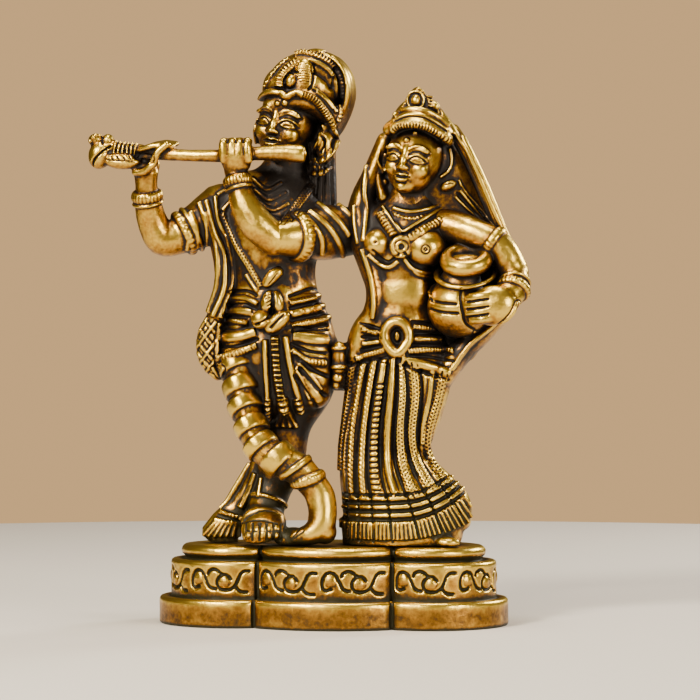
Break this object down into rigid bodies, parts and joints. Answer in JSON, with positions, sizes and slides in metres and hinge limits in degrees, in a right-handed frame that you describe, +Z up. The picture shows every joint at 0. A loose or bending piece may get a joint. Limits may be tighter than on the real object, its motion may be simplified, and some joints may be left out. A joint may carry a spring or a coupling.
{
  "type": "radha krishna statue",
  "caption": "Small brass group of two standing deities, one playing a flute and one with a water pot, on a stepped three-lobed plinth.",
  "frame": {"origin": "centre of the plinth's underside", "axes": "+Z up, +X along the plinth's length, -Y the side that the figures face"},
  "size_m": [0.1154, 0.0492, 0.1504],
  "materials": {
    "figures_brass": "antiqued, with polished high parts and dark hollows",
    "plinth_brass": "antiqued, worn edges, dark in the scroll's ground"
  },
  "bodies": {
    "root": {"figures": "figures_brass", "plinth": "plinth_brass"}
  },
  "joints": []
}
